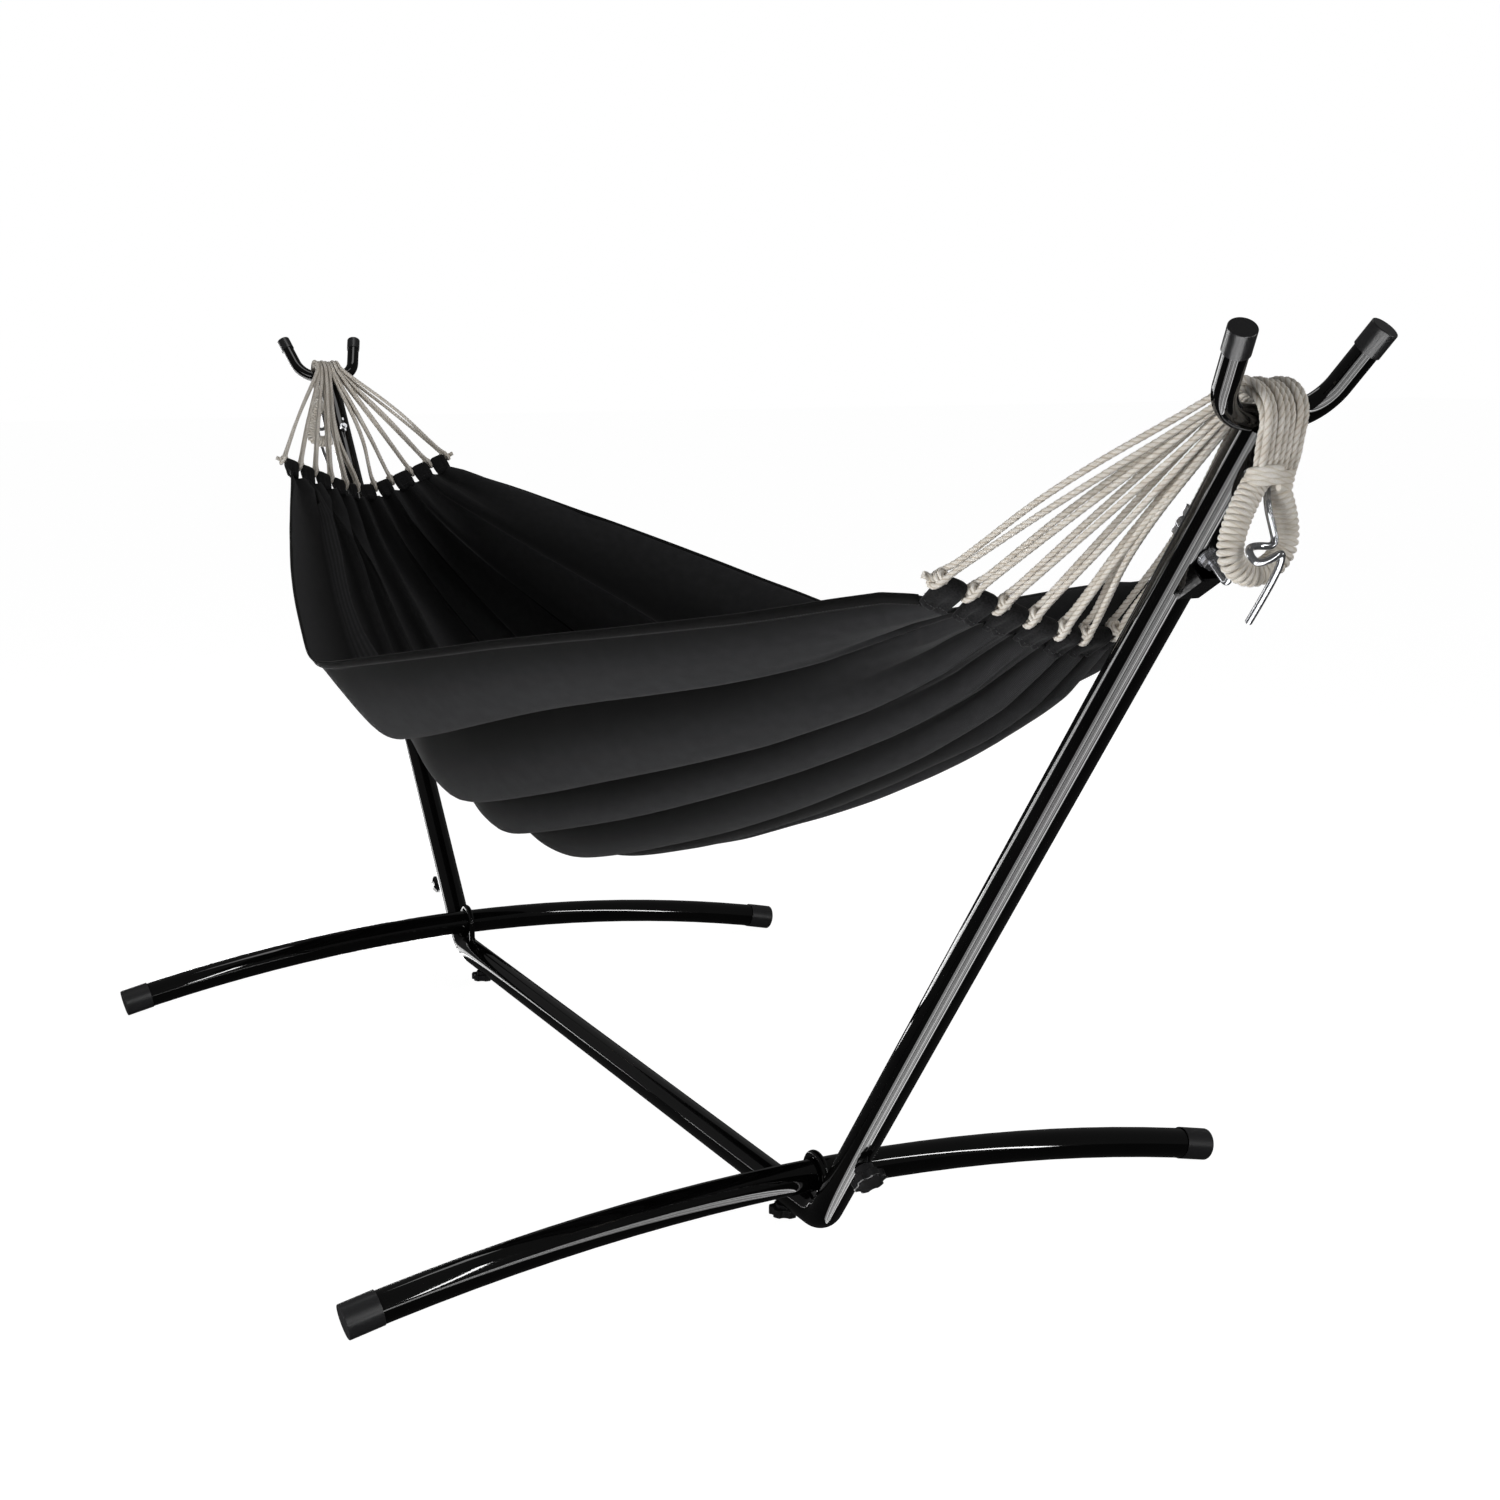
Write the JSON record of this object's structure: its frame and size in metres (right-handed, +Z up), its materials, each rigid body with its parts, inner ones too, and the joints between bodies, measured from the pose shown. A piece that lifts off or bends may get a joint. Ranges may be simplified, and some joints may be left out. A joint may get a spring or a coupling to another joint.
{
  "type": "hammock on stand",
  "caption": "Hammock with a gathered fabric bed, rope loops at both ends, on a free-standing steel tube stand with leaning uprights, rope forks and two arched feet.",
  "frame": {"origin": "on the ground under the middle of the beam", "axes": "+X along the beam, +Y across it, +Z up"},
  "size_m": [2.8714, 1.1516, 1.0602],
  "materials": {
    "black_enamel_steel": "gloss",
    "black_cap_plastic": "satin",
    "black_knob_plastic": "satin",
    "zinc_steel": "satin",
    "chrome_hardware": "polished",
    "cotton_rope": "matte",
    "black_hem_fabric": "matte",
    "charcoal_fabric": "matte"
  },
  "bodies": {
    "stand": {"beam": "black_enamel_steel", "right_foot_tube": "black_enamel_steel", "right_front_foot_cap": "black_cap_plastic", "right_rear_foot_cap": "black_cap_plastic", "right_elbow": "black_enamel_steel", "right_weld_nuts": "zinc_steel", "right_foot_hoop": "black_enamel_steel", "right_upright": "black_enamel_steel", "right_fork": "black_enamel_steel", "right_front_fork_cap": "black_cap_plastic", "right_rear_fork_cap": "black_cap_plastic", "right_hook_bracket": "black_enamel_steel", "right_rope_hook": "chrome_hardware", "right_hook_washer": "chrome_hardware", "right_flange_nut": "chrome_hardware", "right_rope_eye": "cotton_rope", "right_rope_whipping": "cotton_rope", "right_rope_saddle": "cotton_rope", "left_foot_tube": "black_enamel_steel", "left_front_foot_cap": "black_cap_plastic", "left_rear_foot_cap": "black_cap_plastic", "left_elbow": "black_enamel_steel", "left_weld_nuts": "zinc_steel", "left_foot_hoop": "black_enamel_steel", "left_upright": "black_enamel_steel", "left_fork": "black_enamel_steel", "left_front_fork_cap": "black_cap_plastic", "left_rear_fork_cap": "black_cap_plastic", "left_hook_bracket": "black_enamel_steel", "left_rope_hook": "chrome_hardware", "left_hook_washer": "chrome_hardware", "left_flange_nut": "chrome_hardware", "left_rope_eye": "cotton_rope", "left_rope_whipping": "cotton_rope", "left_rope_saddle": "cotton_rope"},
    "hammock": {"bed": "charcoal_fabric", "right_rope_fan": "cotton_rope", "right_hem_cord": "cotton_rope", "right_hem": "black_hem_fabric", "left_rope_fan": "cotton_rope", "left_hem_cord": "cotton_rope", "left_hem": "black_hem_fabric"},
    "right_beam_knob": {"right_beam_knob": "black_knob_plastic", "right_beam_knob_screw": "zinc_steel"},
    "right_upright_knob": {"right_upright_knob": "black_knob_plastic", "right_upright_knob_screw": "zinc_steel"},
    "right_wing_nut": {"right_wing_nut": "chrome_hardware"},
    "left_beam_knob": {"left_beam_knob": "black_knob_plastic", "left_beam_knob_screw": "zinc_steel"},
    "left_upright_knob": {"left_upright_knob": "black_knob_plastic", "left_upright_knob_screw": "zinc_steel"},
    "left_wing_nut": {"left_wing_nut": "chrome_hardware"}
  },
  "joints": [
    {"name": "hammock_swing", "type": "hinge", "parent": "stand", "child": "hammock", "pos_m": [0, 0, 0.997], "axis": [1, 0, 0], "range_deg": [-30, 30], "deforming": ["right_rope_fan", "left_rope_fan"]},
    {"name": "right_beam_knob_turn", "type": "hinge", "parent": "stand", "child": "right_beam_knob", "pos_m": [0.548, 0, 0.01], "axis": [0, 0, -1], "continuous": true},
    {"name": "right_upright_knob_turn", "type": "hinge", "parent": "stand", "child": "right_upright_knob", "pos_m": [0.75326, 0, 0.11953], "axis": [0.7924, 0, -0.61], "continuous": true},
    {"name": "right_wing_nut_turn", "type": "hinge", "parent": "stand", "child": "right_wing_nut", "pos_m": [1.27363, 0, 0.89385], "axis": [-0.7924, 0, 0.61], "continuous": true},
    {"name": "left_beam_knob_turn", "type": "hinge", "parent": "stand", "child": "left_beam_knob", "pos_m": [-0.548, 0, 0.01], "axis": [0, 0, -1], "continuous": true},
    {"name": "left_upright_knob_turn", "type": "hinge", "parent": "stand", "child": "left_upright_knob", "pos_m": [-0.75326, 0, 0.11953], "axis": [-0.7924, 0, -0.61], "continuous": true},
    {"name": "left_wing_nut_turn", "type": "hinge", "parent": "stand", "child": "left_wing_nut", "pos_m": [-1.27363, 0, 0.89385], "axis": [0.7924, 0, 0.61], "continuous": true}
  ]
}
